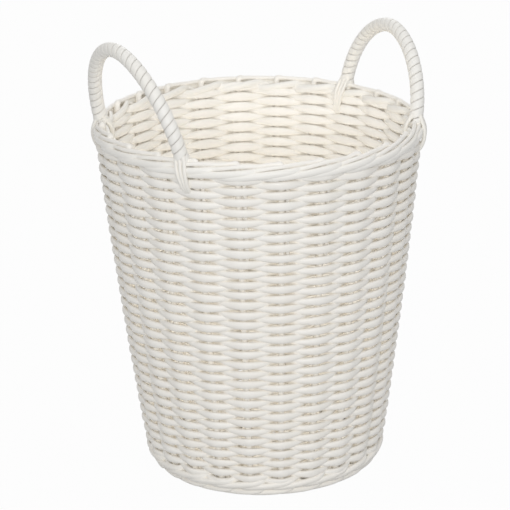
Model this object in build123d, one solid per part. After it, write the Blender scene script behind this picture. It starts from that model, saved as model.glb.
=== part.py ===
from build123d import *
from math import atan, cos, degrees, pi, radians, sin, sqrt, tan
import os

# A round woven laundry basket with two hoop handles.
# Frame: millimetres, +Z up, origin on the floor at the middle of the base, handles towards -X and +X.

# Driving dimensions of the body
body_height = 370.0         # floor to the top of the border
rim_radius = 168.5          # outside of the wall at the top of the border
heel_radius = 124.2         # outside of the wall carried straight down to the floor
stake_count = 24            # uprights round the wall
stake_diameter = 6.6        # round cane of the uprights
weaver_depth = 4.4          # thickness of a weaver where it lies over a stake
foot_height = 30.0          # top of the foot wale above the floor
foot_reach = 20.0           # how far the foot wale runs in under the base from the wall's middle
foot_round = 19.0           # round of the foot's outer corner
heel_bend = 18.0            # bend of a stake where the base turns up into the wall
base_rise = 2.3             # underside of the base weave above the floor
border_height = 20.0        # height of the plaited border
border_round = 6.0          # round of the border's top edges
border_under_round = 1.5    # round of the border's lower edges

# Driving dimensions of the base
stake_insert = 50.0         # run of each stake inside the base
stake_cover = 8.0           # border left above the end of a stake
stick_diameter = 6.0        # round cane of the base sticks
stick_bend = 10.0           # bend of the sticks where they spread from the cross
stick_fan = 30.0            # angle between neighbouring arms of the sticks
stick_level_radius = 40.0   # radius at which the arms have come back to the base's middle level
stick_cover = 3.0           # base weave left outside the end of a stick
cross_margin = 3.0          # run of the sticks past the crossing before they spread

# Driving dimensions of the handles
handle_half_angle = 30.0    # from the middle of a handle to each leg, seen from above
leg_straight = 14.0         # straight part of a leg above the rim
split_height = 10.0         # height above the rim where a leg parts into outer and inner canes
tuck_depth = 34.0           # length of the canes below the rim
handle_cane_diameter = 4.4  # thin cane of the handles
leg_bend = 8.0              # bend of the canes at the rim
wrap_diameter = 1.4         # thickness of the wound binding
wrap_turns = 24             # turns of the binding on each handle
left_bearing = 182.0        # direction of the left handle from +X
left_rise = 98.0            # middle of the left hoop above the rim
left_lean = 13.0            # left hoop leans out
right_bearing = -6.0        # direction of the right handle from +X
right_rise = 78.0           # middle of the right hoop above the rim
right_lean = 8.0            # right hoop leans out

# Clearances
fit_gap = 0.3               # round a stake or stick, and between pieces that meet face to face
bundle_gap = 0.5            # between the canes of a handle
row_gap = 0.8               # between the canes of a leg where they lie side by side
rim_gap = 0.9               # between a leg's canes and the border's rounded top

# Sizes worked out from the driving dimensions
wall_depth = stake_diameter + 2 * weaver_depth
wall_slope = (rim_radius - heel_radius) / body_height
half_wall = wall_depth / 2 / cos(atan(wall_slope))
base_middle = base_rise + wall_depth / 2
stake_pitch = 360 / stake_count


def outer_radius(z):
    """Radius of the wall's outside at a height."""
    return heel_radius + wall_slope * z


def middle_radius(z):
    """Radius of the stakes' centre lines at a height."""
    return outer_radius(z) - half_wall


def inner_radius(z):
    """Radius of the wall's inside at a height."""
    return outer_radius(z) - 2 * half_wall


def polar(radius, angle, z):
    """Point at a radius, an angle in degrees from +X and a height."""
    return Vector(radius * cos(radians(angle)), radius * sin(radians(angle)), z)


def tube(path, diameter):
    """Round bar swept along a path."""
    wire = Wire(path.edges())
    section = Plane(origin=wire @ 0, z_dir=wire % 0) * Circle(diameter / 2)
    return sweep(section, path=wire).solid()


def ring(points, radii):
    """Solid of revolution about Z of a section given in radius and height, with rounded corners."""
    outline = FilletPolyline([(r, 0, z) for r, z in points], radius=radii, close=True)
    return revolve(make_face(outline), axis=Axis.Z).solid()


def turned(shape, angle):
    """Copy of a shape turned about Z."""
    return Rot(0, 0, angle) * shape


def save(node, shape):
    """Write one piece under its node name."""
    export_step(shape, f"parts/{node}.step")


# Stakes: in through the base, up round the heel, up the wall and into the border
heel_corner = middle_radius(base_middle)
stake_top = body_height - stake_cover


def stake_bar(diameter, end_gap):
    """One stake at angle zero, lengthened by a gap at both ends."""
    top = stake_top + end_gap
    points = [
        (heel_corner - stake_insert - end_gap, 0, base_middle),
        (heel_corner, 0, base_middle),
        (middle_radius(top), 0, top),
    ]
    return tube(FilletPolyline(points, radius=heel_bend), diameter)


stake_angles = [stake_pitch * (k + 0.5) for k in range(stake_count)]
stake = stake_bar(stake_diameter, 0)
stake_channel = stake_bar(stake_diameter + 2 * fit_gap, fit_gap)
stake_channels = [turned(stake_channel, angle) for angle in stake_angles]

# Base sticks: three canes laid over three, spread into twelve arms
base_edge = heel_corner - foot_reach - fit_gap
stick_pitch = stick_diameter + fit_gap
stick_rows = (-1, 0, 1)
cross_half = len(stick_rows) * stick_pitch / 2
stick_lift = stick_pitch / 2


def stick_bar(row, level, diameter, end_gap):
    """One stick along X: row -1, 0 or 1 in its group, level -1 for the lower group and 1 for the upper."""
    end = base_edge - stick_cover + end_gap
    crossing = base_middle + level * stick_lift
    fan = row * stick_fan
    arm = [
        polar(end, fan, base_middle),
        polar(stick_level_radius, fan, base_middle),
        Vector(cross_half + cross_margin, row * stick_pitch, crossing),
    ]
    points = arm + [Vector(-p.X, p.Y, p.Z) for p in reversed(arm)]
    return tube(FilletPolyline(points, radius=stick_bend), diameter)


def sticks(diameter, end_gap):
    """All six sticks, the lower group along X and the upper group along Y."""
    lower = [stick_bar(row, -1, diameter, end_gap) for row in stick_rows]
    upper = [turned(stick_bar(row, 1, diameter, end_gap), 90) for row in stick_rows]
    return lower + upper


base_sticks = sticks(stick_diameter, 0)
stick_channels = sticks(stick_diameter + 2 * fit_gap, fit_gap)

# Base weave: a disc round the sticks, open where they cross
base_disc = Pos(0, 0, base_middle) * Cylinder(base_edge, wall_depth)
cross_opening = Pos(0, 0, base_middle) * Box(2 * cross_half, 2 * cross_half, 2 * wall_depth)
base_weave = (base_disc - cross_opening - stick_channels - stake_channels).solid()

# Foot wale: the band round the bottom edge, flat where it stands
base_top = base_middle + wall_depth / 2
foot_inner = base_edge + fit_gap
foot_wale = ring(
    [
        (outer_radius(foot_height), foot_height),
        (outer_radius(0), 0),
        (foot_inner, 0),
        (foot_inner, base_top),
        (inner_radius(base_top), base_top),
        (inner_radius(foot_height), foot_height),
    ],
    [0, foot_round, 0, 0, heel_bend - wall_depth / 2, 0],
)
foot_wale = (foot_wale - stake_channels).solid()

# Side weave: the wall between the foot and the border
side_bottom = foot_height + fit_gap
side_top = body_height - border_height
side_weave = ring(
    [
        (outer_radius(side_bottom), side_bottom),
        (outer_radius(side_top), side_top),
        (inner_radius(side_top), side_top),
        (inner_radius(side_bottom), side_bottom),
    ],
    [0, 0, 0, 0],
)
side_weave = (side_weave - stake_channels).solid()

# Rim border: the ring that the stake ends are plaited into
border_bottom = side_top + fit_gap
rim_border = ring(
    [
        (outer_radius(border_bottom), border_bottom),
        (outer_radius(body_height), body_height),
        (inner_radius(body_height), body_height),
        (inner_radius(border_bottom), border_bottom),
    ],
    [border_under_round, border_round, border_round, border_under_round],
)
rim_border = (rim_border - stake_channels).solid()

# Handles: a hoop of six thin canes round a core, wound with a binding between its two legs.
# A hoop is drawn by the corners of four tangent arcs in its own leaning plane.
rim_middle = middle_radius(body_height)
half_span = rim_middle * sin(radians(handle_half_angle))
bundle_radius = handle_cane_diameter + bundle_gap
row_pitch = handle_cane_diameter + row_gap
leg_rows = (-1, 0, 1)
cane_angle = 60.0
tuck_bottom = body_height - tuck_depth
corner_share = tan(pi / 8)
arc_share = 0.95


def hoop_plane(lean):
    """Plane of a hoop at bearing zero: x along the rim, y up the hoop, z out of the basket."""
    chord = rim_middle * cos(radians(handle_half_angle))
    outwards = (cos(radians(lean)), 0, -sin(radians(lean)))
    return Plane(origin=(chord, 0, body_height), x_dir=(0, 1, 0), z_dir=outwards)


def hoop_corners(rise, swell):
    """Corners of the hoop's right half in its plane, and the largest bends that fit them."""
    half = half_span + swell
    crown = rise - leg_straight + swell
    shoulder = (half, leg_straight + crown * corner_share)
    crest = (half * corner_share, leg_straight + crown)
    slant = (1 - corner_share) * sqrt(half**2 + crown**2)
    shoulder_turn = atan(half / crown)
    crest_turn = pi / 2 - shoulder_turn
    shoulder_bend = arc_share * min(crown * corner_share, slant / 2) / tan(shoulder_turn / 2)
    crest_bend = arc_share * min(half * corner_share, slant / 2) / tan(crest_turn / 2)
    return [shoulder, crest], [shoulder_bend, crest_bend]


def hoop_path(plane, rise, swell, face, leg_points, leg_bends):
    """Path up one leg, over the hoop and down the other; leg_points and leg_bends run from the foot up."""
    corners, bends = hoop_corners(rise, swell)
    right_top = [plane.from_local_coords((u, v, face)) for u, v in corners]
    right = leg_points + right_top
    left = [Vector(p.X, -p.Y, p.Z) for p in right]
    right_bends = leg_bends + bends
    return FilletPolyline(left + right[::-1], radius=right_bends + right_bends[::-1])


def leg_cane(plane, rise, row, side):
    """One cane of a hoop: row -1, 0 or 1 along the rim, side 1 outside the wall and -1 inside."""
    around = radians(cane_angle * row)
    across = bundle_radius * side * cos(around)
    along = bundle_radius * sin(around)
    turn = radians(handle_half_angle)
    swell = across * sin(turn) + along * cos(turn)
    face = across * cos(turn) - along * sin(turn)
    wall = outer_radius if side > 0 else inner_radius
    stand_off = side * handle_cane_diameter / 2
    angle = handle_half_angle + degrees(row * row_pitch / rim_middle)
    leg_points = [
        polar(wall(tuck_bottom) + stand_off + side * fit_gap, angle, tuck_bottom),
        polar(wall(body_height) + stand_off + side * rim_gap, angle, body_height),
        plane.from_local_coords((half_span + swell, split_height, face)),
    ]
    path = hoop_path(plane, rise, swell, face, leg_points, [leg_bend, leg_bend])
    return tube(path, handle_cane_diameter)


def core_cane(plane, rise):
    """The straight-ended cane in the middle of the bundle."""
    leg_points = [plane.from_local_coords((half_span, split_height, 0))]
    return tube(hoop_path(plane, rise, 0, 0, leg_points, []), handle_cane_diameter)


# Binding: one unbroken round strand wound over the bundle
bundle_outside = bundle_radius + handle_cane_diameter / 2
wrap_orbit = bundle_outside + fit_gap + wrap_diameter / 2
quarters = 4 * wrap_turns
slope_step = 1e-4
arc_samples = 3


def winding_point(plane, centre, share):
    """Point of the winding at a share of the hoop's length."""
    angle = 2 * pi * wrap_turns * share
    outwards = plane.z_dir.cross(centre % share)
    return centre @ share + (outwards * cos(angle) + plane.z_dir * sin(angle)) * wrap_orbit


def biarc(start, start_way, end, end_way):
    """Two tangent arcs between two points with given directions."""
    chord = end - start
    both = start_way + end_way
    spread = 2 * (1 - start_way.dot(end_way))
    forward = chord.dot(both)
    reach = (sqrt(forward**2 + spread * chord.dot(chord)) - forward) / spread
    joint = (start + end + (start_way - end_way) * reach) * 0.5
    joint_way = (end - end_way * reach - start - start_way * reach).normalized()
    return [TangentArc(start, joint, tangent=start_way), TangentArc(joint, end, tangent=joint_way)]


def least_gap(arcs):
    """Least clear distance between turns, on points along the strand half a turn or more apart."""
    points = [arc @ (k / arc_samples) for arc in arcs for k in range(arc_samples)]
    half_turn = len(points) * 2 // quarters
    near = 3 * half_turn
    gaps = [
        (points[i] - points[j]).length
        for i in range(len(points))
        for j in range(i + half_turn, min(i + near, len(points)))
    ]
    return min(gaps) - wrap_diameter


def binding(plane, rise, name):
    """The wound strand of one hoop, from leg to leg."""
    leg_points = [plane.from_local_coords((half_span, leg_straight, 0))]
    centre = Wire(hoop_path(plane, rise, 0, 0, leg_points, []).edges())
    shares = [k / quarters for k in range(quarters + 1)]
    points = [winding_point(plane, centre, share) for share in shares]
    ways = []
    for share in shares:
        ahead = winding_point(plane, centre, min(share + slope_step, 1))
        behind = winding_point(plane, centre, max(share - slope_step, 0))
        ways.append((ahead - behind).normalized())
    arcs = []
    for k in range(quarters):
        arcs += biarc(points[k], ways[k], points[k + 1], ways[k + 1])
    first = Line(points[0] - ways[0] * wrap_diameter, points[0])
    last = Line(points[-1], points[-1] + ways[-1] * wrap_diameter)
    path = Curve() + [first, *arcs, last]
    strand = tube(path, wrap_diameter)
    length = sum(edge.length for edge in path.edges())
    print(f"{name}: least gap {least_gap(arcs):.2f} mm, "
          f"volume over section times length {strand.volume / (pi * wrap_diameter**2 / 4 * length):.4f}")
    return strand


# Write the pieces
os.makedirs("parts", exist_ok=True)
for number, angle in enumerate(stake_angles, start=1):
    save(f"stake_{number:02d}", turned(stake, angle))
for number, stick in enumerate(base_sticks, start=1):
    save(f"base_stick_{number}", stick)
save("base_weave", base_weave)
save("foot_wale", foot_wale)
save("side_weave", side_weave)
save("rim_border", rim_border)

hoops = [
    ("left_handle", left_bearing, left_rise, left_lean),
    ("right_handle", right_bearing, right_rise, right_lean),
]
for name, bearing, rise, lean in hoops:
    plane = hoop_plane(lean)
    for number, row in enumerate(leg_rows, start=1):
        save(f"{name}_outer_cane_{number}", turned(leg_cane(plane, rise, row, 1), bearing))
        save(f"{name}_inner_cane_{number}", turned(leg_cane(plane, rise, row, -1), bearing))
    save(f"{name}_core_cane", turned(core_cane(plane, rise), bearing))
    save(f"{name}_wrap", turned(binding(plane, rise, f"{name}_wrap"), bearing))
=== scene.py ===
# %% [markdown]
# # A woven laundry basket
# The basket is built strand by strand, as a basket maker works it. Weavers go over and under upright stakes,
# the stakes fold over into a plaited rim, and two bound handles are tucked into the weave. Every strand is
# one surface, worked out as whole numpy arrays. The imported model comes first, because it says where each
# piece is.

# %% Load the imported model
import math

import bpy
import numpy as np
from mathutils import Matrix, Vector


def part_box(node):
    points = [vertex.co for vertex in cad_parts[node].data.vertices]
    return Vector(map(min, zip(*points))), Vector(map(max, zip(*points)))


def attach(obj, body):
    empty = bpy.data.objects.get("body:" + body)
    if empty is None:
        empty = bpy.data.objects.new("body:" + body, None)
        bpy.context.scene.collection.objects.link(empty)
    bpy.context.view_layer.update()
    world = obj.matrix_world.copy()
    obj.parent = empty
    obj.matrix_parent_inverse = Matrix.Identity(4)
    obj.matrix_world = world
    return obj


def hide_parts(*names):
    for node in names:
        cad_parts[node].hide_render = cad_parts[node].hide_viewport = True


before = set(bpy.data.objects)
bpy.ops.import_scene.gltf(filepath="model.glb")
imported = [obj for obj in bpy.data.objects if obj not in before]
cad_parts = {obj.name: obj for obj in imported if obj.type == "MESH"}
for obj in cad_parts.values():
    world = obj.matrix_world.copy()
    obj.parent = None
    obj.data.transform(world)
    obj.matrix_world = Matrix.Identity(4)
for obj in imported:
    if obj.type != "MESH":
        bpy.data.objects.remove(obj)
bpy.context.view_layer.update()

# %% [markdown]
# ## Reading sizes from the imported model
# The wall is a slightly flared ring. Its edges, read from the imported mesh, give the flare, so that nothing
# has to be typed twice. Only what the mesh can't tell, such as a bend, is written here as a size.

# %% Sizes of the wall
MM = 0.001
edge_band = 0.05 * MM
stake_count = 24
heel_bend = 18 * MM


def node_points(node):
    """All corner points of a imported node, as rows of x, y and z in metres."""
    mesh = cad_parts[node].data
    flat = np.zeros(len(mesh.vertices) * 3, np.float32)
    mesh.vertices.foreach_get("co", flat)
    return flat.reshape(-1, 3).astype(float)


def ring_edge(node, at_top):
    """Inner radius, outer radius and height of the top or bottom edge of a ring about the Z axis."""
    points = node_points(node)
    radius = np.hypot(points[:, 0], points[:, 1])
    height = points[:, 2].max() if at_top else points[:, 2].min()
    edge = radius[np.abs(points[:, 2] - height) < edge_band]
    return edge.min(), edge.max(), height


inner_low, outer_low, side_low = ring_edge("side_weave", at_top=False)
_, outer_high, side_high = ring_edge("side_weave", at_top=True)
wall_lean = math.atan((outer_high - outer_low) / (side_high - side_low))
base_low, base_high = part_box("base_weave")
base_middle = (base_low.z + base_high.z) / 2
stake_radius = base_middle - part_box("stake_01")[0].z
rim_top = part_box("rim_border")[1].z
stake_step = 2 * math.pi / stake_count
first_stake = stake_step / 2
print(f"wall leans {math.degrees(wall_lean):.2f} degrees, stakes are {2 * stake_radius / MM:.2f} mm thick")

# %% [markdown]
# ## The line that every stake follows
# A stake lies flat in the base, turns up round the heel and climbs the wall. Every weaver works round that
# line, so it is the one curve that the whole basket hangs on. It is written as a function of the length
# along it: a flat run, an arc and a straight climb.

# %% The stakes' line
wall_middle_low = (inner_low + outer_low) / 2
heel_corner = wall_middle_low - (side_low - base_middle) * math.tan(wall_lean)
heel_turn = math.pi / 2 - wall_lean
heel_start = heel_corner - heel_bend * math.tan(heel_turn / 2)
heel_length = heel_bend * heel_turn
heel_top = base_middle + heel_bend * (1 - math.cos(heel_turn))


def meridian(along):
    """Radius, height and outward normal of the stakes' line at lengths along it from the start of the heel:
    flat below zero, then an arc of the heel's bend, then straight up the leaning wall."""
    along = np.asarray(along, float)
    turn = np.clip(along / heel_bend, 0, heel_turn)
    flat = np.minimum(along, 0)
    climb = np.maximum(along - heel_length, 0)
    radius = heel_start + flat + heel_bend * np.sin(turn) + climb * math.sin(wall_lean)
    height = base_middle + heel_bend * (1 - np.cos(turn)) + climb * math.cos(wall_lean)
    return radius, height, np.sin(turn), -np.cos(turn)


def at_height(height):
    """Length along the stakes' line at a height on the wall."""
    return heel_length + (height - heel_top) / math.cos(wall_lean)


rim_middle = float(meridian(at_height(rim_top))[0])
print(f"heel arc {heel_length / MM:.1f} mm, wall middle at the rim {rim_middle / MM:.1f} mm")

# %% [markdown]
# ## Points on the wall
# Hand work is never a true cone. The rim sways a little to one side, the wall bulges and the corner of the
# heel is pushed out. One function puts a point on that wall, so that all strands share its shape.

# %% Points on the wall
rim_sway = 2 * MM
sway_bearing = math.radians(150)
wall_bulge = 2.4 * MM
heel_push = 2 * MM


def on_wall(angle, along, offset):
    """Points at an angle round the basket, a length along the stakes' line and an offset outwards from it,
    with the outward direction at each. The wall was worked a little higher on one side, so lengths along it
    stretch there by a share that grows evenly up to the rim. The root of half a sine bulges the wall, and the
    square of one pushes out the corner of the heel."""
    climbed = np.clip((along - heel_length) / (at_height(rim_top) - heel_length), 0, 1)
    along = along + rim_sway * climbed * np.cos(angle - sway_bearing)
    radius, height, normal_r, normal_z = meridian(along)
    turned_up = np.clip(along / heel_length, 0, 1)
    offset = offset + wall_bulge * np.sin(np.pi * climbed) ** 0.5
    offset = offset + heel_push * np.sin(np.pi * turned_up) ** 2
    reach = radius + offset * normal_r
    cosine = np.cos(angle)
    sine = np.sin(angle)
    points = np.stack([reach * cosine, reach * sine, height + offset * normal_z], axis=-1)
    outward = np.stack(np.broadcast_arrays(normal_r * cosine, normal_r * sine, normal_z), axis=-1)
    return points, outward


# %% [markdown]
# ## From a path to a strand
# A cane is an oval carried along a path. The oval may swell or thin on the way, so both half sizes are
# arrays. Curves with a bevel come close, but they can't squeeze a weaver where it crosses the wall.

# %% Strand surfaces
strand_sides = 12
flat_power = 0.9
thinnest_end = 0.02


def unit(vectors):
    """Vectors scaled to length one."""
    return vectors / np.linalg.norm(vectors, axis=-1, keepdims=True)


def slopes(path, closed=False):
    """Direction of travel at each point: the next point minus the one before, round the end if closed."""
    if closed:
        return unit(np.roll(path, -1, axis=0) - np.roll(path, 1, axis=0))
    return unit(np.gradient(path, axis=0))


def lengths_along(path):
    """Length of a path from its start to each of its points: the running sum of its steps."""
    steps = np.linalg.norm(np.diff(path, axis=0), axis=1)
    return np.concatenate([[0], np.cumsum(steps)])


def oval(sides, power):
    """Outline of a strand as shares of its half sizes, outward and across, from the lower edge round: an
    ellipse that a power under one turns towards a rounded box."""
    around = -np.pi / 2 + 2 * np.pi * np.arange(sides) / sides
    wide = np.sign(np.cos(around)) * np.abs(np.cos(around)) ** power
    tall = np.sign(np.sin(around)) * np.abs(np.sin(around)) ** power
    return wide, tall


flat_oval = oval(strand_sides, flat_power)
round_oval = oval(strand_sides, 1.0)


def strand(path, outward, half_height, half_depth, outline=flat_oval, closed=False):
    """Grid of points of a strand. Each row is the outline, half_depth along the outward direction and
    half_height across it."""
    travel = slopes(path, closed)
    across = unit(np.cross(outward, travel))
    facing = np.cross(travel, across)
    wide, tall = outline
    depth = np.broadcast_to(half_depth, len(path))[:, None, None] * wide[None, :, None]
    height = np.broadcast_to(half_height, len(path))[:, None, None] * tall[None, :, None]
    return path[:, None] + depth * facing[:, None] + height * across[:, None]


def rounded_ends(path, length):
    """Share of full thickness along a path: a quarter of an ellipse over a length at each end, else one."""
    run = lengths_along(path)
    near = np.clip(np.minimum(run, run[-1] - run) / length, 0, 1)
    return np.sqrt(np.clip(1 - (1 - near) ** 2, thinnest_end, 1))


print("strand outlines of", strand_sides, "sides")

# %% [markdown]
# ## From a grid to a piece
# A grid of points becomes quads. The strip's own length and turn go into a UV map, so that a finish can run
# along a strand however it winds. Open strands get a flat cap at each end.

# %% Pieces
def grid_quads(rows, columns, closed):
    """Corner numbers of the quads of a grid that is closed round its columns, and round its rows if asked,
    with the row and column of each corner before any wrapping."""
    row, column = np.meshgrid(np.arange(rows if closed else rows - 1), np.arange(columns), indexing="ij")
    row = row.reshape(-1, 1) + np.array([[0, 1, 1, 0]])
    column = column.reshape(-1, 1) + np.array([[0, 0, 1, 1]])
    return (row % rows) * columns + column % columns, row, column


def strand_mesh(name, grid, closed):
    """Smooth mesh of a grid, capped unless closed. U is the length along the strand in metres, and V is the
    share of a turn round it."""
    rows, columns = grid.shape[:2]
    quads, row, column = grid_quads(rows, columns, closed)
    faces = quads.tolist()
    if not closed:
        faces.append(list(range(columns)))
        faces.append(list(range(rows * columns - 1, (rows - 1) * columns - 1, -1)))
    mesh = bpy.data.meshes.new(name)
    mesh.from_pydata(grid.reshape(-1, 3), [], faces)
    middle = grid.mean(axis=1)
    run = lengths_along(np.concatenate([middle, middle[:1]]))
    corners = np.zeros((len(mesh.loops), 2), np.float32)
    corners[: row.size] = np.stack([run[row], column / columns], axis=-1).reshape(-1, 2)
    mesh.uv_layers.new(name="strand").data.foreach_set("uv", corners.ravel())
    mesh.shade_smooth()
    return mesh


def add_piece(name, grid, finish, nodes, closed=False):
    """One strand as an object that rides on the basket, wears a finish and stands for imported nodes."""
    mesh = strand_mesh(name, grid, closed)
    mesh.materials.append(finish)
    piece = bpy.data.objects.new(name, mesh)
    bpy.context.scene.collection.objects.link(piece)
    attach(piece, "root")
    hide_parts(*nodes)
    return piece


# %% [markdown]
# ## The finish of the canes
# The canes are extruded ivory plastic that copies peeled rattan: a soft sheen, fine lines along the strand,
# and a slightly warmer tone here and there. One node group makes the lines and the broad tone from the UV
# map. It also makes a mask on the sides where strands face each other, which carries painted shade for the
# crevices between them. Each material uses the group with its own colours. The turn round the strand goes
# through a sine and a cosine, so that the lines meet at the seam.

# %% Shared grain and painted shade mask of a strand
grain_and_shade_sizes = [("Lines", 6.0), ("Line length", 14.0), ("Tone length", 9.0), ("Painted shade width", 6.0)]
fine_detail = 3.0
broad_detail = 1.0
broad_row = (0.37, 0.71)


def new_group(name, inputs, outputs):
    """Empty shader node group with float inputs (name, value) and float outputs."""
    group = bpy.data.node_groups.new(name, "ShaderNodeTree")
    for label, value in inputs:
        socket = group.interface.new_socket(label, in_out="INPUT", socket_type="NodeSocketFloat")
        socket.default_value = value
    for label in outputs:
        group.interface.new_socket(label, in_out="OUTPUT", socket_type="NodeSocketFloat")
    return group, group.nodes.new("NodeGroupInput"), group.nodes.new("NodeGroupOutput")


def feed(tree, value, socket):
    """Give a socket a constant, which is a number or a tuple, or else a link."""
    if isinstance(value, (int, float, tuple)):
        socket.default_value = value
    else:
        tree.links.new(value, socket)


def maths(tree, operation, first, second=0.0):
    """Math node whose two inputs are links or numbers; returns its output."""
    node = tree.nodes.new("ShaderNodeMath")
    node.operation = operation
    feed(tree, first, node.inputs[0])
    feed(tree, second, node.inputs[1])
    return node.outputs[0]


def combine(tree, *parts):
    """Vector from three links or numbers."""
    node = tree.nodes.new("ShaderNodeCombineXYZ")
    for value, socket in zip(parts, node.inputs):
        feed(tree, value, socket)
    return node.outputs[0]


def noise(tree, vector, detail):
    """Noise texture on a vector at scale one; returns its value."""
    node = tree.nodes.new("ShaderNodeTexNoise")
    node.inputs["Scale"].default_value = 1.0
    node.inputs["Detail"].default_value = detail
    tree.links.new(vector, node.inputs["Vector"])
    return node.outputs["Fac"]


def build_strand_grain_and_shade():
    """Group with fine lines along a strand, broad tone changes down its length, and a mask that is one on its
    upper and lower edges, which are the sides that face the neighbours. The mask places painted shade in the
    crevices between strands. All come from the UV map."""
    group, given, result = new_group("strand_grain_and_shade", grain_and_shade_sizes, ["Fine", "Broad", "Painted shade"])
    uv = group.nodes.new("ShaderNodeUVMap")
    uv.uv_map = "strand"
    split = group.nodes.new("ShaderNodeSeparateXYZ")
    group.links.new(uv.outputs[0], split.inputs[0])
    turn = maths(group, "MULTIPLY", split.outputs["Y"], 2 * math.pi)
    cosine = maths(group, "COSINE", turn)
    # edge is the mask for painted shade on the sides that face the neighbours
    edge = maths(group, "POWER", maths(group, "ABSOLUTE", cosine), given.outputs["Painted shade width"])
    side = maths(group, "MULTIPLY", cosine, given.outputs["Lines"])
    rise = maths(group, "MULTIPLY", maths(group, "SINE", turn), given.outputs["Lines"])
    run = maths(group, "MULTIPLY", split.outputs["X"], given.outputs["Line length"])
    fine = noise(group, combine(group, run, side, rise), fine_detail)
    slow = maths(group, "MULTIPLY", split.outputs["X"], given.outputs["Tone length"])
    broad = noise(group, combine(group, slow, *broad_row), broad_detail)
    group.links.new(fine, result.inputs["Fine"])
    group.links.new(broad, result.inputs["Broad"])
    group.links.new(edge, result.inputs["Painted shade"])
    return group


strand_grain_and_shade = build_strand_grain_and_shade()
print("node group", strand_grain_and_shade.name, "with outputs Fine, Broad and Edge")

# %% [markdown]
# ## Materials from the grain
# A finish mixes a pale and a warm ivory by the broad tone and goes deeper in the fine lines. It takes an edge
# colour where strands face each other, which is painted shade for the crevices between them. The same
# lines steer the roughness and a shallow relief.

# %% Materials of the canes
tone_range = (-0.4, 1.4)
line_power = 2.0
strand_relief = 0.5
strand_specular = 0.4


def mix_colour(tree, factor, first, second):
    """Mix of two colours by a link; a colour is three linear numbers or a link. The node's colour sockets
    are inputs 6 and 7 and output 2."""
    node = tree.nodes.new("ShaderNodeMix")
    node.data_type = "RGBA"
    tree.links.new(factor, node.inputs["Factor"])
    for value, socket in ((first, node.inputs[6]), (second, node.inputs[7])):
        feed(tree, (*value, 1.0) if isinstance(value, tuple) else value, socket)
    return node.outputs[2]


def spread(tree, value, low, high):
    """A value in zero to one carried to low to high."""
    node = tree.nodes.new("ShaderNodeMapRange")
    node.inputs["To Min"].default_value = low
    node.inputs["To Max"].default_value = high
    tree.links.new(value, node.inputs["Value"])
    return node.outputs[0]


def relief(tree, shader, height, strength, depth):
    """Bump of a depth from a height in zero to one, into a shader's Normal."""
    bump = tree.nodes.new("ShaderNodeBump")
    bump.inputs["Strength"].default_value = strength
    bump.inputs["Distance"].default_value = depth
    tree.links.new(height, bump.inputs["Height"])
    tree.links.new(bump.outputs[0], shader.inputs["Normal"])


def new_material(name):
    """Material with nodes, its tree and its principled shader."""
    material = bpy.data.materials.new(name)
    material.use_nodes = True
    return material, material.node_tree, material.node_tree.nodes["Principled BSDF"]


def strand_finish(name, pale, warm, deep, edge, shade_share, lines, rough, line_depth):
    """Plastic cane: pale and warm ivory in broad tones, deeper in the fine lines, which also stand in relief.
    By a share, it takes an edge colour on the sides that face the neighbours, which is painted shade of the
    crevices between strands."""
    material, tree, shader = new_material(name)
    grain = tree.nodes.new("ShaderNodeGroup")
    grain.node_tree = strand_grain_and_shade
    grain.inputs["Lines"].default_value = lines
    fine = grain.outputs["Fine"]
    tone = mix_colour(tree, spread(tree, grain.outputs["Broad"], *tone_range), pale, warm)
    lined = mix_colour(tree, maths(tree, "POWER", fine, line_power), tone, deep)
    # The edge colour mixed in here is painted shade on the sides of a strand that face its neighbours
    painted_shade_mask = maths(tree, "MULTIPLY", grain.outputs["Painted shade"], shade_share)
    tree.links.new(mix_colour(tree, painted_shade_mask, lined, edge), shader.inputs["Base Color"])
    tree.links.new(spread(tree, fine, *rough), shader.inputs["Roughness"])
    relief(tree, shader, fine, strand_relief, line_depth)
    shader.inputs["Specular IOR Level"].default_value = strand_specular
    return material


# %% Finishes
# Each finish's edge colour is painted shade: darker, warmer ivory on the sides where strands press together
# and the weave is in shade
wall_tones = {
    "pale": (0.95, 0.937, 0.905),
    "warm": (0.945, 0.92, 0.87),
    "deep": (0.9, 0.865, 0.8),
    "edge": (0.94, 0.9, 0.835),
}
weaver_finish = strand_finish(
    "ivory_weaver", **wall_tones, shade_share=0.5, lines=5.0, rough=(0.34, 0.56), line_depth=0.25 * MM)
border_finish = strand_finish(
    "ivory_border", pale=(0.935, 0.925, 0.895), warm=(0.925, 0.905, 0.86), deep=(0.86, 0.83, 0.765),
    edge=(0.93, 0.895, 0.835), shade_share=0.4, lines=6.0, rough=(0.32, 0.5), line_depth=0.25 * MM)
stake_finish = strand_finish(
    "ivory_stake", **wall_tones, shade_share=0.2, lines=6.0, rough=(0.36, 0.56), line_depth=0.25 * MM)
handle_finish = strand_finish(
    "ivory_handle_cane", pale=(0.93, 0.92, 0.89), warm=(0.915, 0.895, 0.845), deep=(0.85, 0.82, 0.75),
    edge=(0.88, 0.85, 0.79), shade_share=0.5, lines=5.0, rough=(0.32, 0.5), line_depth=0.2 * MM)
# The tape's dark edge colour is painted shade in the seams between its turns
tape_finish = strand_finish(
    "ivory_tape", pale=(0.925, 0.915, 0.89), warm=(0.91, 0.895, 0.85), deep=(0.84, 0.815, 0.765),
    edge=(0.66, 0.63, 0.58), shade_share=0.5, lines=3.0, rough=(0.42, 0.56), line_depth=0.06 * MM)
print("finishes for weavers, border, stakes, handle canes and tape")

# %% [markdown]
# ## The hand of the weaver
# No two stitches of a basket are quite alike. A row of random numbers, one for each stake passed and eased
# in between, moves and swells a strand a little. Each strand has its own seed, so every run is the same.

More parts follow.
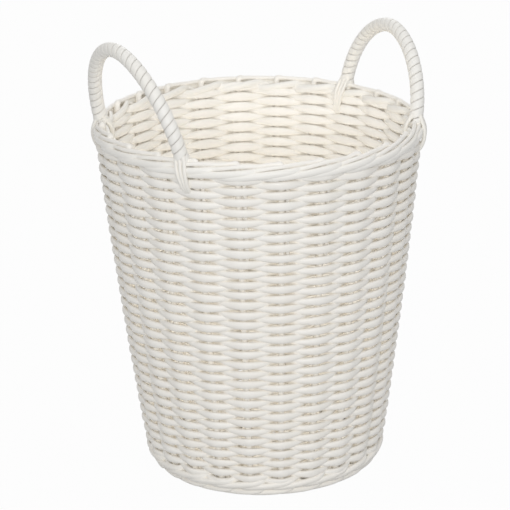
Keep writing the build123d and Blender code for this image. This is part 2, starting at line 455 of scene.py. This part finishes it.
# %% Unevenness
def wobble(passed, amount, seed, period=None):
    """Smooth random change along a strand: one normal number per whole stake passed, joined by half cosines.
    With a period the numbers come round again, for a strand that closes on itself."""
    whole = np.floor(passed).astype(int)
    count = period or whole.max() - whole.min() + 2
    numbers = np.random.default_rng(seed).normal(0, amount, count)
    start = 0 if period else whole.min()
    share = (1 - np.cos(np.pi * (passed - whole))) / 2
    return numbers[(whole - start) % count] * (1 - share) + numbers[(whole - start + 1) % count] * share


# %% [markdown]
# ## The side weave
# Two weavers chase each other up the wall, each over one stake and under the next, one going outside where
# the other goes inside. With an even number of stakes each weaver passes outside the same stakes on every
# round, which stacks the long oval stitches in columns. A weaver is tallest where it lies on a stake. Where
# it crosses the wall it is squeezed between its neighbours, so it is lower and deeper there.

# %% Size of a stitch
weaver_depth = 4.8 * MM
weave_tension = 0.85
crossing_height = 3.1 * MM
crossing_gain = 0.5 * MM
plump_height = 1.2 * MM
plump_loss = 0.2 * MM
inside_height = 0.55 * MM
crossing_depth = 1.4


def swing(passed):
    """Side that a weaver is on: one outside even stakes, minus one inside odd ones. The arcsine of a cosine
    is a straight run from stake to stake with a small bend on each, and more tension makes the bend
    tighter."""
    return np.arcsin(weave_tension * np.cos(np.pi * passed)) / math.asin(weave_tension)


def stitch_sizes(on_stake, share):
    """Half height and half depth of a weaver by its side and its share of the way up. Its least height, at a
    crossing, grows with the square of that share. On a stake it is taller, by an eased square of the side,
    and inside the wall it is taller still. The depth shrinks as the height grows."""
    plump = on_stake ** 2 * (2 - on_stake ** 2)
    inside = 1 - (1 - np.minimum(on_stake, 0) ** 2) ** 3
    crossing = crossing_height + crossing_gain * share ** 2
    half_height = crossing + (plump_height - plump_loss * share) * plump + inside_height * inside
    half_depth = weaver_depth / 2 * (crossing_depth - (crossing_depth - 1) * plump)
    return half_height, half_depth


# %% Side weavers
weaver_rounds = 31.9
weaver_pitch = 11.15 * MM
weave_start = -17.73 * MM
weaver_steps = 10
weaver_end = 12 * MM
pressed = 0.15 * MM
stitch_arch = 0.6 * MM
arch_level = 0.6
side_drift = 0.28 * MM
reach_drift = 0.15 * MM
height_swell = 0.035
strand_swell = 0.03
outer_bend = heel_bend + stake_radius + weaver_depth / 2
opening_a = 18
opening_b = opening_a + stake_count // 2 + 1


def side_weaver(opening, seed):
    """Spiral of one weaver from its opening stake: the length up the wall's outer side, from the top of the
    heel, grows evenly with the stakes passed, and the offset swings out and in. Each stitch arches by the
    squared swing. Round the heel the outer side is longer than the stakes' line, by its larger bend."""
    stakes = round(weaver_rounds * stake_count)
    passed = np.linspace(0, stakes, stakes * weaver_steps + 1)
    on_stake = swing(passed)
    climb = weave_start + weaver_pitch * passed / stake_count + stitch_arch * (on_stake ** 2 - arch_level)
    climb = climb + wobble(passed + 0.5, side_drift, seed)
    along = heel_length + np.where(climb < 0, climb * heel_bend / outer_bend, climb)
    reach = stake_radius + weaver_depth / 2 - pressed + wobble(passed, reach_drift, seed + 1)
    path, outward = on_wall(first_stake + (opening + passed) * stake_step, along, on_stake * reach)
    half_height, half_depth = stitch_sizes(on_stake, passed / stakes)
    half_height = half_height * (1 + wobble(passed, height_swell, seed + 2))
    half_depth = half_depth * (1 + wobble(passed, strand_swell, seed + 3))
    ends = rounded_ends(path, weaver_end)
    return strand(path, outward, half_height * ends, half_depth * ends)


for letter, opening, seed in (("a", opening_a, 11), ("b", opening_b, 21)):
    grid = side_weaver(opening, seed)
    piece = add_piece(f"side_weaver_{letter}", grid, weaver_finish, ["side_weave"])
    print(piece.name, len(piece.data.polygons), "faces")

# %% [markdown]
# ## The wales
# A wale is a round of three weavers worked together: each passes outside two stakes, then inside one, over
# the top of the other two. Outside, it looks like a rope of long strokes that rise to the right. Two wales
# make the foot and one locks the top of the wall. The number of stakes divides by three, so each weaver
# closes on itself.

# %% Wale weavers
wale_strands = 3
wale_steps = 12
wale_snap = 2.2
wale_round = 0.35
wale_seed = 100
ring_drift = 0.2 * MM


def stroke(share):
    """Rise from minus one to one: a straight line, with a share of half cosine that rounds its ends."""
    return -wale_round * np.cos(np.pi * share) - (1 - wale_round) * (1 - 2 * share)


def wale_weaver(number, middle, half_height, half_depth, climb, seed):
    """Closed strand of a wale. Its cycle is three stakes: a steep tanh of a cosine carries it outside for two
    stakes, from one sixth of the cycle to five sixths, and inside for one. It rises in a stroke outside and
    falls in one inside."""
    passed = np.linspace(0, stake_count, stake_count * wale_steps, endpoint=False)
    cycle = ((passed - number) / wale_strands) % 1
    side = np.tanh(wale_snap * (0.5 - np.cos(2 * np.pi * cycle)))
    side = np.where(side < 0, side / math.tanh(wale_snap / 2), side / math.tanh(wale_snap * 1.5))
    outside = (cycle - 1 / 6) * 1.5
    inside = ((cycle - 5 / 6) % 1) * 3
    lift = np.where((outside >= 0) & (outside <= 1), stroke(outside), -stroke(inside))
    along = middle + climb * lift + wobble(passed, ring_drift, seed, stake_count)
    reach = stake_radius + half_depth - pressed
    path, outward = on_wall(first_stake + passed * stake_step, along, side * reach)
    swollen = 1 + wobble(passed, strand_swell, seed + 1, stake_count)
    return strand(path, outward, half_height * swollen, half_depth * swollen, closed=True)


# Name, middle on the stakes' line, half height, half depth, climb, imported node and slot
foot_middle = heel_bend * math.radians(32)
heel_middle = heel_bend * math.radians(56)
lock_middle = at_height(361.2 * MM)
wales = (
    ("foot_wale", foot_middle, 3.0 * MM, 4.0 * MM, 2.4 * MM, "foot_wale", "weaver"),
    ("heel_wale", heel_middle, 3.9 * MM, 3.0 * MM, 2.6 * MM, "foot_wale", "weaver"),
    ("rim_wale", lock_middle, 3.8 * MM, 2.8 * MM, 3.4 * MM, "rim_border", "border_cane"),
)
for order, (name, middle, half_height, half_depth, climb, node, slot) in enumerate(wales):
    finish = border_finish if slot == "border_cane" else weaver_finish
    for number in range(wale_strands):
        seed = wale_seed + 10 * order + number
        grid = wale_weaver(number, middle, half_height, half_depth, climb, seed)
        add_piece(f"{name}_weaver_{number + 1}", grid, finish, [node], closed=True)
    print(name, "of", wale_strands, "strands")

# %% [markdown]
# ## The base weave
# The base is woven like the wall, laid flat: two weavers spiral out from the cross of base sticks, over one
# arm and under the next. Near the cross they go over whole groups of sticks, four to a round. Further out
# each of the twelve arms has a stake on both sides, so a weaver stays flat over all three canes.

# %% Base weavers
base_arms = 12
base_groups = 4
base_inner = 19 * MM
base_outer = heel_start + 4.5 * MM
base_depth = 4.4 * MM
base_height = 2.75 * MM
base_plump = 0.8 * MM
base_rounds = 7.8
base_steps = 12
base_end = 8 * MM
base_seed = 31
arm_snap = 2.6
group_snap = 2.2
spread_zone = (29 * MM, 35 * MM)
stake_zone = (44 * MM, 54 * MM)


def ease(value, low, high):
    """Smooth step from zero at low to one at high."""
    share = np.clip((value - low) / (high - low), 0, 1)
    return share * share * (3 - 2 * share)


def base_side(angle, radius, sign):
    """Side that a base weaver is on: over or under the groups, and past the zone where the sticks spread,
    over or under the arms. Where the stakes join the arms, a sine of a cosine turns into a flatter tanh."""
    flatness = ease(radius, *stake_zone)
    cosine = np.cos(angle * base_arms / 2) * sign
    flat_top = np.tanh(arm_snap * cosine) / math.tanh(arm_snap)
    on_arm = (1 - flatness) * np.sin(np.pi / 2 * cosine) + flatness * flat_top
    on_group = np.tanh(group_snap * np.cos(angle * base_groups / 2)) * sign
    near_cross = 1 - ease(radius, *spread_zone)
    return on_arm * (1 - near_cross) + on_group * near_cross


def base_weaver(opening, seed):
    """Flat spiral of one base weaver: the radius grows evenly with the arms passed, and the offset swings
    under and over."""
    passed = np.linspace(0, base_rounds * base_arms, int(base_rounds * base_arms * base_steps) + 1)
    angle = opening * math.pi + passed * 2 * math.pi / base_arms
    along = base_inner - heel_start + (base_outer - base_inner) * passed / passed[-1]
    along = along + wobble(passed, ring_drift, seed)
    side = base_side(angle, meridian(along)[0], 1 - 2 * opening)
    path, outward = on_wall(angle, along, side * (stake_radius + base_depth / 2 - pressed))
    half_height = (base_height + base_plump * side ** 2) * (1 + wobble(passed, strand_swell, seed + 1))
    ends = rounded_ends(path, base_end)
    return strand(path, outward, half_height * ends, base_depth / 2 * ends)


for letter, opening in (("a", 0), ("b", 1)):
    grid = base_weaver(opening, base_seed + opening)
    piece = add_piece(f"base_weaver_{letter}", grid, weaver_finish, ["base_weave"])
    print(piece.name, len(piece.data.polygons), "faces")

# %% [markdown]
# ## The stakes and the folded rim
# Each stake is one cane: flat in the base, up the wall, over into a fold along the crest of the rim, and
# down beside the second stake on, where the end is pushed deep into the weave. The fold's few points are
# smoothed by a cubic B-spline, which never overshoots, so the cane bends the way a soaked cane does.

# %% Fold of a stake
crest_radius = 2.15 * MM
crest_lift = 2 * MM
fold_samples = 72


def b_spline(points, samples):
    """Uniform cubic B-spline through space with the given control points, its ends held by tripling them."""
    held = np.concatenate([points[:1], points[:1], points, points[-1:], points[-1:]])
    spans = len(held) - 3
    at = np.linspace(0, spans, samples)
    span = np.minimum(at.astype(int), spans - 1)
    t = (at - span)[:, None]
    weights = ((1 - t) ** 3, 3 * t**3 - 6 * t**2 + 4, -3 * t**3 + 3 * t**2 + 3 * t + 1, t**3)
    return sum(weight * held[span + k] for k, weight in enumerate(weights)) / 6


# Stakes passed, height from the crest in mm and offset outwards in mm
fold = np.array([
    (0.0, -20.0, 0.0),
    (0.0, -12.0, 0.0),
    (0.0, -4.0, -0.8),
    (0.0, 0.3, -1.2),
    (-0.10, 0.5, -0.9),
    (-0.25, 0.2, -0.2),
    (-0.45, -0.2, 0.8),
    (-0.70, -0.4, 2.0),
    (-1.00, -0.9, 3.4),
    (-1.25, -2.2, 3.8),
    (-1.50, -3.8, 3.2),
    (-1.70, -5.6, 2.6),
    (-1.82, -9.0, 2.0),
    (-1.86, -14.0, 1.2),
    (-1.86, -22.0, 0.4),
    (-1.85, -32.0, 0.1),
])
fold[:, 1:] *= MM
fold[:, 1] += rim_top + crest_lift - crest_radius
loose = slice(4, 11)
loose_count = loose.stop - loose.start
loose_height = 0.35 * MM
loose_offset = 0.3 * MM

# %% Stakes
stake_flat_end = 67.6 * MM
tail_bottom = 262 * MM
flat_samples = 6
heel_samples = 12
wall_samples = 16
tail_samples = 9
heel_margin = 2 * MM
wall_margin = 8 * MM
fold_margin = 3 * MM
stake_point = 10 * MM
thinned_by = 0.2
stake_seed = 300


def straight(passed, along):
    """Bit of a stake that runs along the stakes' line, as stakes passed, length along it and no offset."""
    return np.stack([np.full(len(along), passed), along, np.zeros(len(along))], axis=1)


def stake_path(rng):
    """Path of one stake as stakes passed, length along the stakes' line and offset: sampled closely round the
    heel, by the fold's spline over the crest, and straight down to the tail's end."""
    rising = np.concatenate([
        np.linspace(stake_flat_end - heel_start, -heel_margin, flat_samples),
        np.linspace(0, heel_length, heel_samples),
        np.linspace(heel_length + wall_margin, at_height(fold[0, 1] - fold_margin), wall_samples),
    ])
    controls = fold.copy()
    controls[loose, 1] += rng.normal(0, loose_height, loose_count)
    controls[loose, 2] += rng.normal(0, loose_offset, loose_count)
    over = b_spline(controls, fold_samples)
    over[:, 1] = at_height(over[:, 1])
    falling = np.linspace(over[-1, 1], at_height(tail_bottom), tail_samples)[1:]
    return np.concatenate([straight(0.0, rising), over, straight(over[-1, 0], falling)])


def stake_cane(number):
    """Round cane of one stake, a little thinner in the fold, with a pointed tail."""
    rng = np.random.default_rng(stake_seed + number)
    passed, along, offset = stake_path(rng).T
    path, outward = on_wall(first_stake + (number + passed) * stake_step, along, offset)
    thick = stake_radius + (crest_radius - stake_radius) * ease(-passed, 0.0, thinned_by)
    thick = thick * rounded_ends(path, stake_point)
    return strand(path, outward, thick, thick, round_oval)


for number in range(stake_count):
    node = f"stake_{number + 1:02d}"
    add_piece(f"folded_{node}", stake_cane(number), stake_finish, [node, "rim_border"])
print(stake_count, "stakes folded over the rim")

# %% [markdown]
# ## The handles
# Each handle is a tall hoop of six canes round a core, standing on the rim and leaning out a little. Below
# the rim its canes straddle the border, three outside and three inside, draw together and dive under a
# weaver. The hoop is drawn in its own leaning plane and then turned to its place on the rim.

# %% Hoops
arch_power = 1.9
# Bearing, half angle on the rim, rise and lean
hoops = {
    "left_handle": (math.radians(181), math.radians(31.5), 98.5 * MM, math.radians(14)),
    "right_handle": (math.radians(-6), math.radians(29.6), 80 * MM, math.radians(9.6)),
}


def plane_face(lean):
    """Direction square to the plane of a hoop at bearing zero, away from the basket."""
    return np.array([math.cos(lean), 0, -math.sin(lean)])


def hoop_points(half_angle, rise, lean, swell, face, start, samples):
    """Half of a hoop at bearing zero, from a height on its leg to the crown: a quarter of a super-ellipse a
    little sharper than an ellipse, moved out in its plane by swell and square to its plane by face."""
    half_span = rim_middle * math.sin(half_angle)
    sweep = np.linspace(math.asin((start / rise) ** (arch_power / 2)), np.pi / 2, samples)
    along = half_span * np.cos(sweep) ** (2 / arch_power)
    up = rise * np.sin(sweep) ** (2 / arch_power)
    steep = (along / half_span) ** (arch_power - 1) / half_span
    level = (up / rise) ** (arch_power - 1) / rise
    normal = unit(np.stack([steep, level], axis=1))
    along = along + swell * normal[:, 0]
    up = up + swell * normal[:, 1]
    upward = np.array([math.sin(lean), 0, math.cos(lean)])
    root = np.array([rim_middle * math.cos(half_angle), 0, rim_top])
    return root + along[:, None] * np.array([0, 1.0, 0]) + up[:, None] * upward + face * plane_face(lean)


def turned(points, bearing):
    """Points turned about the basket's axis."""
    cosine = math.cos(bearing)
    sine = math.sin(bearing)
    return points @ np.array([[cosine, sine, 0], [-sine, cosine, 0], [0, 0, 1]])


def both_legs(half):
    """A half path from one leg's end to the crown, continued by its mirror image down to the other leg."""
    mirror = half[::-1] * np.array([1, -1, 1])
    return np.concatenate([half, mirror[1:]])


def centre_line(half_angle, rise, lean, start, tuck, samples):
    """Middle line of a hoop at bearing zero, with a straight bit at each end down into the border."""
    half = hoop_points(half_angle, rise, lean, 0.0, 0.0, start, samples)
    below = half[:1] - tuck * unit(half[1:2] - half[:1])
    return both_legs(np.concatenate([below, half]))


# %% Handle canes
cane_radius = 2.05 * MM
cane_point = 5 * MM
cane_samples = 180
bundle_radius = 3.9 * MM
bundle_step = math.radians(60)
bundle_low = 9 * MM
bundle_samples = 11
leg_pitch = 4.3 * MM
# Height from the rim in mm, distance from the wall's middle in mm, share across the leg and drift in mm
leg_fall = np.array([
    (-34, 0.5, 0.40, 7.8),
    (-30, 3.6, 0.45, 7.2),
    (-26, 7.0, 0.52, 6.5),
    (-20, 9.4, 0.64, 5.4),
    (-13, 10.2, 0.80, 4.0),
    (-7, 9.9, 0.92, 2.8),
    (-2, 8.2, 1.0, 1.6),
    (3, 5.6, 1.0, 0.6),
])


def leg_points(half_angle, row, side):
    """Control points of a cane on its leg: height from the rim, distance from the wall's middle, share of its
    place across the leg, and drift along the rim, which grows as the three canes dive under a weaver."""
    fall = leg_fall * np.array([MM, MM, 1.0, MM])
    along = row * leg_pitch * fall[:, 2] + fall[:, 3]
    angle = half_angle + along / rim_middle
    points, _ = on_wall(angle, at_height(rim_top + fall[:, 0]), side * fall[:, 1])
    return points


def handle_cane(bearing, half_angle, rise, lean, row, side):
    """One cane of a handle, from its tuck in the weave over the hoop to the other tuck."""
    across = bundle_radius * side * math.cos(bundle_step * row)
    along = bundle_radius * math.sin(bundle_step * row)
    swell = across * math.sin(half_angle) + along * math.cos(half_angle)
    face = across * math.cos(half_angle) - along * math.sin(half_angle)
    hoop = hoop_points(half_angle, rise, lean, swell, face, bundle_low, bundle_samples)
    controls = both_legs(np.concatenate([leg_points(half_angle, row, side), hoop]))
    path = turned(b_spline(controls, cane_samples), bearing)
    thick = cane_radius * rounded_ends(path, cane_point)
    return strand(path, turned(plane_face(lean), bearing), thick, thick, round_oval)


# %% Core canes
core_radius = 2.2 * MM
core_low = 2 * MM
core_tuck = 9 * MM
core_samples = 40


def core_cane(bearing, half_angle, rise, lean):
    """The cane in the middle of a handle, along the hoop's middle line and down into the border."""
    path = turned(centre_line(half_angle, rise, lean, core_low, core_tuck, core_samples), bearing)
    return strand(path, turned(plane_face(lean), bearing), core_radius, core_radius, round_oval)


for hoop, measures in hoops.items():
    for side, word in ((1, "outer"), (-1, "inner")):
        for row in (-1, 0, 1):
            node = f"{hoop}_{word}_cane_{row + 2}"
            grid = handle_cane(*measures, row, side)
            add_piece(f"tucked_{node}", grid, handle_finish, [node])
    node = f"{hoop}_core_cane"
    add_piece(f"bent_{node}", core_cane(*measures), handle_finish, [node])
    print(hoop, "of six tucked canes round a core")

# %% [markdown]
# ## The binding tape
# Two flat tapes are wound round each handle side by side, so every second seam is the same tape coming round
# again and the turns lie slanted. On the outside of the bend the turns have more room and on the inside they
# press together, so a turn is never wider than its room. The tape's outline is flat inside and crowned
# outside, with a shallow crease along its middle, and that is what shows as fine lines.

# %% Tape
tape_starts = 2
tape_width = 9.0 * MM
tape_pitch = 8.5 * MM
tape_crown = 1.0 * MM
tape_radius = bundle_radius + cane_radius + 0.35 * MM
tape_low = 1.5 * MM
tape_tuck = 4 * MM
tape_steps = 40
tape_sides = 24
tape_fill = 0.49
line_samples = 1500
crease_depth = 0.12
crease_width = 0.3
inner_press = 0.25


def tape_outline():
    """Oval whose inner half is pressed nearly flat and whose outer half dips along the middle by a bell."""
    wide, tall = oval(tape_sides, 1.0)
    crease = 1 - crease_depth * np.exp(-((tall / crease_width) ** 2))
    return np.where(wide < 0, inner_press * wide, crease * wide), tall


def tape(bearing, half_angle, rise, lean, start):
    """Helix of flat tape about the hoop's middle line, which is read evenly by its length. The room for a
    turn is the pitch, stretched outside the bend and shrunk inside it."""
    centre = centre_line(half_angle, rise, lean, tape_low, tape_tuck, line_samples)
    run = lengths_along(centre)
    turns = run[-1] / (tape_starts * tape_pitch)
    count = round(turns * tape_steps) + 1
    at = np.linspace(0, run[-1], count)
    line = np.stack([np.interp(at, run, centre[:, axis]) for axis in range(3)], axis=1)
    travel = slopes(line)
    out = plane_face(lean)
    bend_side = unit(np.cross(travel, out))
    spin = 2 * np.pi * (np.linspace(0, turns, count) + start / tape_starts)
    outward = np.cos(spin)[:, None] * out + np.sin(spin)[:, None] * bend_side
    path = line + tape_radius * outward
    bend = np.linalg.norm(np.gradient(travel, at, axis=0), axis=1)
    room = tape_pitch * (1 + tape_radius * bend * np.sin(spin) * np.sign(bend_side[0, 1]))
    slant = math.atan(tape_starts * tape_pitch / (2 * math.pi * tape_radius))
    half_width = np.minimum(tape_width / 2, tape_fill * room) * math.cos(slant)
    grid = strand(path, outward, half_width, tape_crown, tape_outline())
    return turned(grid.reshape(-1, 3), bearing).reshape(grid.shape), turns


for hoop, measures in hoops.items():
    for start in range(tape_starts):
        grid, turns = tape(*measures, start)
        add_piece(f"{hoop}_tape_{start + 1}", grid, tape_finish, [f"{hoop}_wrap"])
    print(hoop, "bound with", tape_starts, "tapes of", round(turns, 1), "turns")

# %% [markdown]
# ## The base sticks
# The base sticks have the right shape already, so they keep it and get a cane finish. They have no UV map.
# Their grain is noise on Object coordinates, stretched along each cane.

# %% Finish of the base sticks
stick_pale = (0.94, 0.925, 0.89)
stick_deep = (0.87, 0.83, 0.75)
stick_rough = (0.38, 0.58)
stick_relief = 0.4
stick_line_depth = 0.25 * MM
grain_along = 25
grain_across = 900
sticks_each_way = 3


def solid_finish(name, stretch):
    """Ivory cane whose fine lines follow one axis: noise on Object coordinates, scaled far less along it."""
    material, tree, shader = new_material(name)
    place = tree.nodes.new("ShaderNodeTexCoord")
    mapping = tree.nodes.new("ShaderNodeMapping")
    mapping.inputs["Scale"].default_value = stretch
    tree.links.new(place.outputs["Object"], mapping.inputs["Vector"])
    fine = noise(tree, mapping.outputs[0], fine_detail)
    tree.links.new(mix_colour(tree, fine, stick_pale, stick_deep), shader.inputs["Base Color"])
    tree.links.new(spread(tree, fine, *stick_rough), shader.inputs["Roughness"])
    relief(tree, shader, fine, stick_relief, stick_line_depth)
    return material


along_x = solid_finish("ivory_stick_along_x", (grain_along, grain_across, grain_across))
along_y = solid_finish("ivory_stick_along_y", (grain_across, grain_along, grain_across))
for number in range(1, 2 * sticks_each_way + 1):
    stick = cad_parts[f"base_stick_{number}"]
    stick.data.materials.clear()
    stick.data.materials.append(along_x if number <= sticks_each_way else along_y)
print("base sticks keep their packed shape")

# %% [markdown]
# ## Floor, light and camera
# The photograph is a plain catalogue shot on white. A large pale floor takes the shadow and the world lights
# from all round, with soft lamps above, in front and behind. For camera rays the floor is mostly white light,
# so it reads as white while the shadow stays. Thin pale plastic lets light through, so the gaps of the real
# wall are never black. A weak lamp inside the basket and many bounces between the strands stand in for that,
# which renders faster and exports better than light scattered inside each strand.

# %% Floor
floor_half = 6.0
floor_grey = 0.52
floor_white = 0.97


def white_for_camera(tree, share, plain, white, output):
    """Surface that is a plain shader, but by a share a white one for rays from the camera, or from a
    reflection or a glass that shows the background."""
    path = tree.nodes.new("ShaderNodeLightPath")
    seen = maths(tree, "MAXIMUM", path.outputs["Is Camera Ray"], path.outputs["Is Glossy Ray"])
    seen = maths(tree, "MAXIMUM", seen, path.outputs["Is Transmission Ray"])
    blend = tree.nodes.new("ShaderNodeMixShader")
    tree.links.new(maths(tree, "MULTIPLY", seen, share), blend.inputs["Fac"])
    tree.links.new(plain.outputs[0], blend.inputs[1])
    tree.links.new(white.outputs[0], blend.inputs[2])
    tree.links.new(blend.outputs[0], tree.nodes[output].inputs["Surface"])


scene = bpy.context.scene
floor_mesh = bpy.data.meshes.new("floor")
floor_corners = [(-floor_half, -floor_half, 0), (floor_half, -floor_half, 0),
                 (floor_half, floor_half, 0), (-floor_half, floor_half, 0)]
floor_mesh.from_pydata(floor_corners, [], [(0, 1, 2, 3)])
floor = bpy.data.objects.new("floor", floor_mesh)
scene.collection.objects.link(floor)
floor_material, tree, shader = new_material("pale_floor")
shader.inputs["Base Color"].default_value = (floor_grey, floor_grey, floor_grey, 1.0)
shader.inputs["Roughness"].default_value = 0.9
shader.inputs["Specular IOR Level"].default_value = 0.0
white = tree.nodes.new("ShaderNodeEmission")
white.inputs["Strength"].default_value = 1.0
white_for_camera(tree, floor_white, shader, white, "Material Output")
floor_mesh.materials.append(floor_material)
print("floor", 2 * floor_half, "m wide")

# %% Light from all round
dome_strength = 0.52

world = bpy.data.worlds.new("studio")
world.use_nodes = True
scene.world = world
tree = world.node_tree
dome = tree.nodes["Background"]
dome.inputs["Color"].default_value = (1.0, 1.0, 1.0, 1.0)
dome.inputs["Strength"].default_value = dome_strength
backdrop = tree.nodes.new("ShaderNodeBackground")
backdrop.inputs["Strength"].default_value = 1.0
white_for_camera(tree, 1.0, dome, backdrop, "World Output")
print("dome of strength", dome_strength)


# %% Lamps
def soft_lamp(name, place, aim, size, power):
    """Square area lamp at a place, facing a point."""
    data = bpy.data.lights.new(name, "AREA")
    data.shape = "SQUARE"
    data.size = size
    data.energy = power
    lamp = bpy.data.objects.new(name, data)
    lamp.location = place
    lamp.rotation_mode = "QUATERNION"
    lamp.rotation_quaternion = (Vector(aim) - Vector(place)).to_track_quat("-Z", "Y")
    scene.collection.objects.link(lamp)


soft_lamp("top_softbox", place=(0.1, -0.2, 1.9), aim=(0, 0, 0.25), size=1.6, power=5)
soft_lamp("front_softbox", place=(-1.5, -2.46, 1.15), aim=(0, 0, 0.2), size=1.0, power=33)
soft_lamp("back_softbox", place=(1.25, 2.05, 1.5), aim=(0, 0, 0.2), size=0.9, power=8)
glow_data = bpy.data.lights.new("glow_through_wall", "POINT")
glow_data.energy = 0.19
glow_data.shadow_soft_size = 0.06
glow = bpy.data.objects.new("glow_through_wall", glow_data)
glow.location = (0, 0, 0.2)
glow.visible_camera = False
glow.visible_glossy = False
scene.collection.objects.link(glow)
scene.cycles.diffuse_bounces = 12
scene.view_settings.view_transform = "Standard"
print("three soft lamps, and a weak one inside the basket")

# %% [markdown]
# ## The camera
# The camera's place, turn and focal length were fitted to the rim, the foot and the outline of the photo.
# A point on the basket's axis and its place in the picture fix where the camera looks.

# %% Camera
photo_side = 510
focal_pixels = 2343.3
camera_distance = 2.46
camera_azimuth = math.radians(-30)
camera_elevation = math.radians(20.3)
camera_roll = math.radians(-1.18)
aim_point = Vector((0, 0, 0.185))
aim_in_photo = (261.9, 288.0)
sensor_width = 36.0

level = Vector((math.cos(camera_azimuth), math.sin(camera_azimuth), 0))
ahead = Vector((-math.sin(camera_azimuth), math.cos(camera_azimuth), 0)) * math.cos(camera_elevation)
ahead.z = -math.sin(camera_elevation)
above = level.cross(ahead)
right = level * math.cos(camera_roll) + above * math.sin(camera_roll)
upward = above * math.cos(camera_roll) - level * math.sin(camera_roll)
centre_x = photo_side / 2 - aim_in_photo[0]
centre_y = aim_in_photo[1] - photo_side / 2
gaze = (ahead * focal_pixels + right * centre_x + upward * centre_y).normalized()
right = (right - gaze * right.dot(gaze)).normalized()
upward = right.cross(gaze)
camera_data = bpy.data.cameras.new("photo_camera")
camera_data.sensor_width = sensor_width
camera_data.lens = sensor_width * focal_pixels / photo_side
camera = bpy.data.objects.new("photo_camera", camera_data)
turn = Matrix((right, upward, -gaze)).transposed()
camera.matrix_world = Matrix.Translation(aim_point - ahead * camera_distance) @ turn.to_4x4()
scene.collection.objects.link(camera)
scene.camera = camera
print(f"camera lens {camera_data.lens:.1f} mm at", [round(v, 3) for v in camera.matrix_world.translation])
